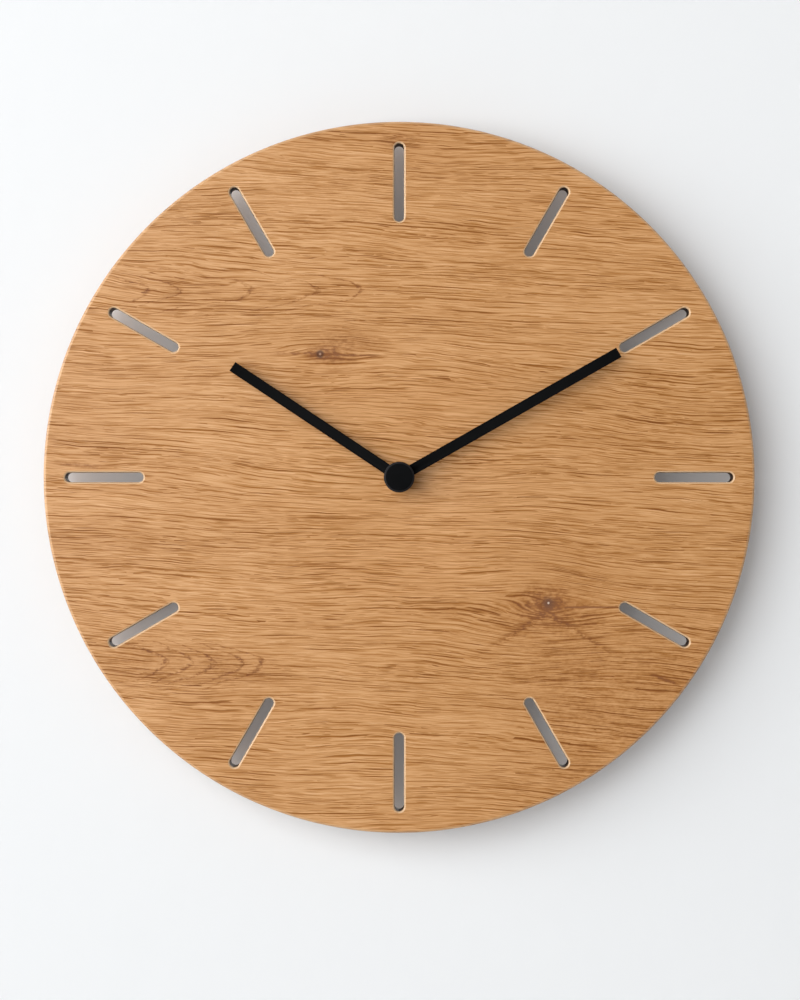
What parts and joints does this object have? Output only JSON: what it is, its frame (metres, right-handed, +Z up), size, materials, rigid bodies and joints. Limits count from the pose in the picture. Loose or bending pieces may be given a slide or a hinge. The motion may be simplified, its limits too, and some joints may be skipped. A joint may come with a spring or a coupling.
{
  "type": "wall clock",
  "caption": "Round oak wall clock with slots for hour marks, black bar hands and a battery quartz movement that hangs on one nail.",
  "frame": {"origin": "the point in the hanger's notch where the wall nail bears", "axes": "+Z up towards twelve, the dial faces -Y and the wall lies towards +Y"},
  "size_m": [0.35, 0.037, 0.35],
  "materials": {
    "oak": "clear matt oil on planed oak",
    "hand_black": "matt black paint",
    "steel": "zinc plated",
    "brass": "turned",
    "rubber": "matt",
    "case_plastic": "fine moulded texture",
    "gear_plastic": "moulded, natural colour",
    "magnet": "sintered",
    "copper": "enamelled copper wire",
    "laminate": "solder mask",
    "resin": "cast drop",
    "crystal_can": "drawn can",
    "battery_can": "plain sleeve"
  },
  "bodies": {
    "root": {"dial_board": "oak", "hanger_plate": "steel", "rubber_washer": "rubber", "brass_washer": "brass", "hex_nut": "brass", "threaded_bush": "brass", "foot_top": "rubber", "foot_left": "rubber", "foot_right": "rubber", "foot_screw_top": "steel", "foot_screw_left": "steel", "foot_screw_right": "steel", "front_case": "case_plastic", "middle_plate": "gear_plastic", "back_cover": "case_plastic", "stator": "steel", "coil_core": "steel", "coil_bobbin": "gear_plastic", "coil_winding": "copper", "circuit_board": "laminate", "chip_cover": "resin", "quartz_crystal": "crystal_can", "positive_contact": "steel", "negative_contact": "steel"},
    "minute": {"minute_pipe": "brass", "centre_wheel": "gear_plastic", "minute_hand": "hand_black", "centre_cap": "hand_black"},
    "hour": {"hour_wheel": "gear_plastic", "hour_hand": "hand_black"},
    "setting": {"minute_wheel": "gear_plastic", "setting_knob": "case_plastic"},
    "third": {"third_wheel": "gear_plastic"},
    "seconds": {"seconds_wheel": "gear_plastic"},
    "idler": {"idler_wheel": "gear_plastic"},
    "rotor": {"rotor_arbor": "gear_plastic", "rotor_magnet": "magnet"},
    "battery": {"battery_cell": "battery_can"}
  },
  "joints": [
    {"name": "minute_turn", "type": "hinge", "parent": "root", "child": "minute", "pos_m": [0, -0.0073, -0.04794], "axis": [0, 1, 0], "continuous": true},
    {"name": "hour_turn", "type": "hinge", "parent": "root", "child": "hour", "pos_m": [0, -0.0073, -0.04794], "axis": [0, 1, 0], "continuous": true},
    {"name": "setting_turn", "type": "hinge", "parent": "root", "child": "setting", "pos_m": [-0.012, -0.0073, -0.04794], "axis": [0, 1, 0], "continuous": true},
    {"name": "third_turn", "type": "hinge", "parent": "root", "child": "third", "pos_m": [-0.00397, -0.0073, -0.03704], "axis": [0, 1, 0], "continuous": true},
    {"name": "seconds_turn", "type": "hinge", "parent": "root", "child": "seconds", "pos_m": [0, -0.0073, -0.04794], "axis": [0, 1, 0], "continuous": true},
    {"name": "idler_turn", "type": "hinge", "parent": "root", "child": "idler", "pos_m": [0.0084, -0.0073, -0.04794], "axis": [0, 1, 0], "continuous": true},
    {"name": "rotor_turn", "type": "hinge", "parent": "root", "child": "rotor", "pos_m": [0.01378, -0.0073, -0.04543], "axis": [0, 1, 0], "continuous": true},
    {"name": "battery_slide", "type": "slide", "parent": "root", "child": "battery", "axis": [0, 1, 0], "range_m": [0, 0.012]}
  ],
  "couplings": [
    {"joint": "hour_turn", "follows": "minute_turn", "ratio": 0.083333},
    {"joint": "setting_turn", "follows": "minute_turn", "ratio": -0.33333},
    {"joint": "third_turn", "follows": "minute_turn", "ratio": -7.5},
    {"joint": "seconds_turn", "follows": "minute_turn", "ratio": 60},
    {"joint": "idler_turn", "follows": "minute_turn", "ratio": -360},
    {"joint": "rotor_turn", "follows": "minute_turn", "ratio": 1800}
  ]
}
